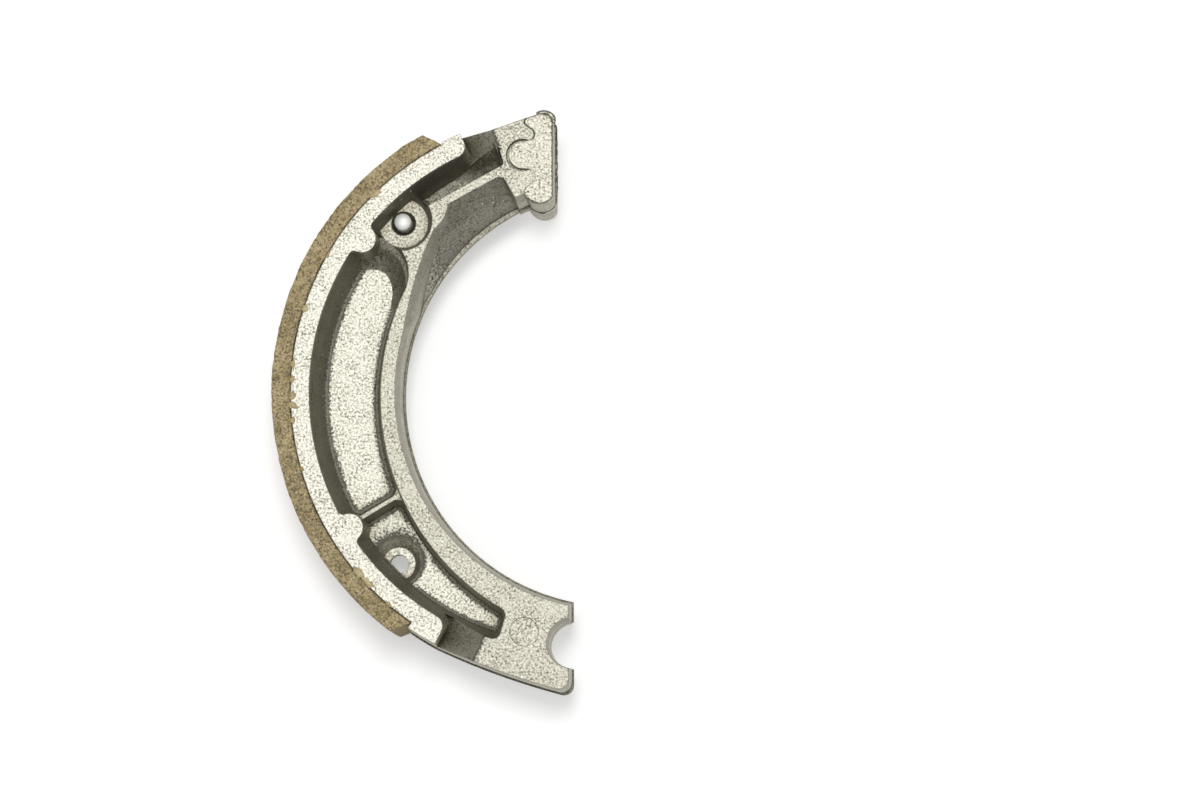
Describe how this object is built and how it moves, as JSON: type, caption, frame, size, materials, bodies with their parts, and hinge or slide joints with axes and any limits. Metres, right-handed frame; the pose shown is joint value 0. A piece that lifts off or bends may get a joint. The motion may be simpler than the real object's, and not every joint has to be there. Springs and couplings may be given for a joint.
{
  "type": "drum brake shoe",
  "caption": "Curved die-cast shoe for a small drum brake, with a bonded lining, a cam pad at one end and a half-round anchor seat at the other.",
  "frame": {"origin": "axis of the half-round anchor seat, on the shoe's mid-plane", "axes": "+Z along the drum and anchor axes, across the shoe's width; +Y from the anchor seat to the drum axis and the cam end; +X from the lining towards the drum axis"},
  "size_m": [0.065, 0.1265, 0.028],
  "materials": {
    "cast_aluminium": "shot-blasted die casting",
    "lining": "ground moulded friction material",
    "insert_metal": "shot-blasted",
    "pin_steel": "bright drawn, domed end"
  },
  "bodies": {
    "root": {"shoe_casting": "cast_aluminium", "friction_lining": "lining", "cam_end_insert": "insert_metal", "spring_pin": "pin_steel"}
  },
  "joints": []
}
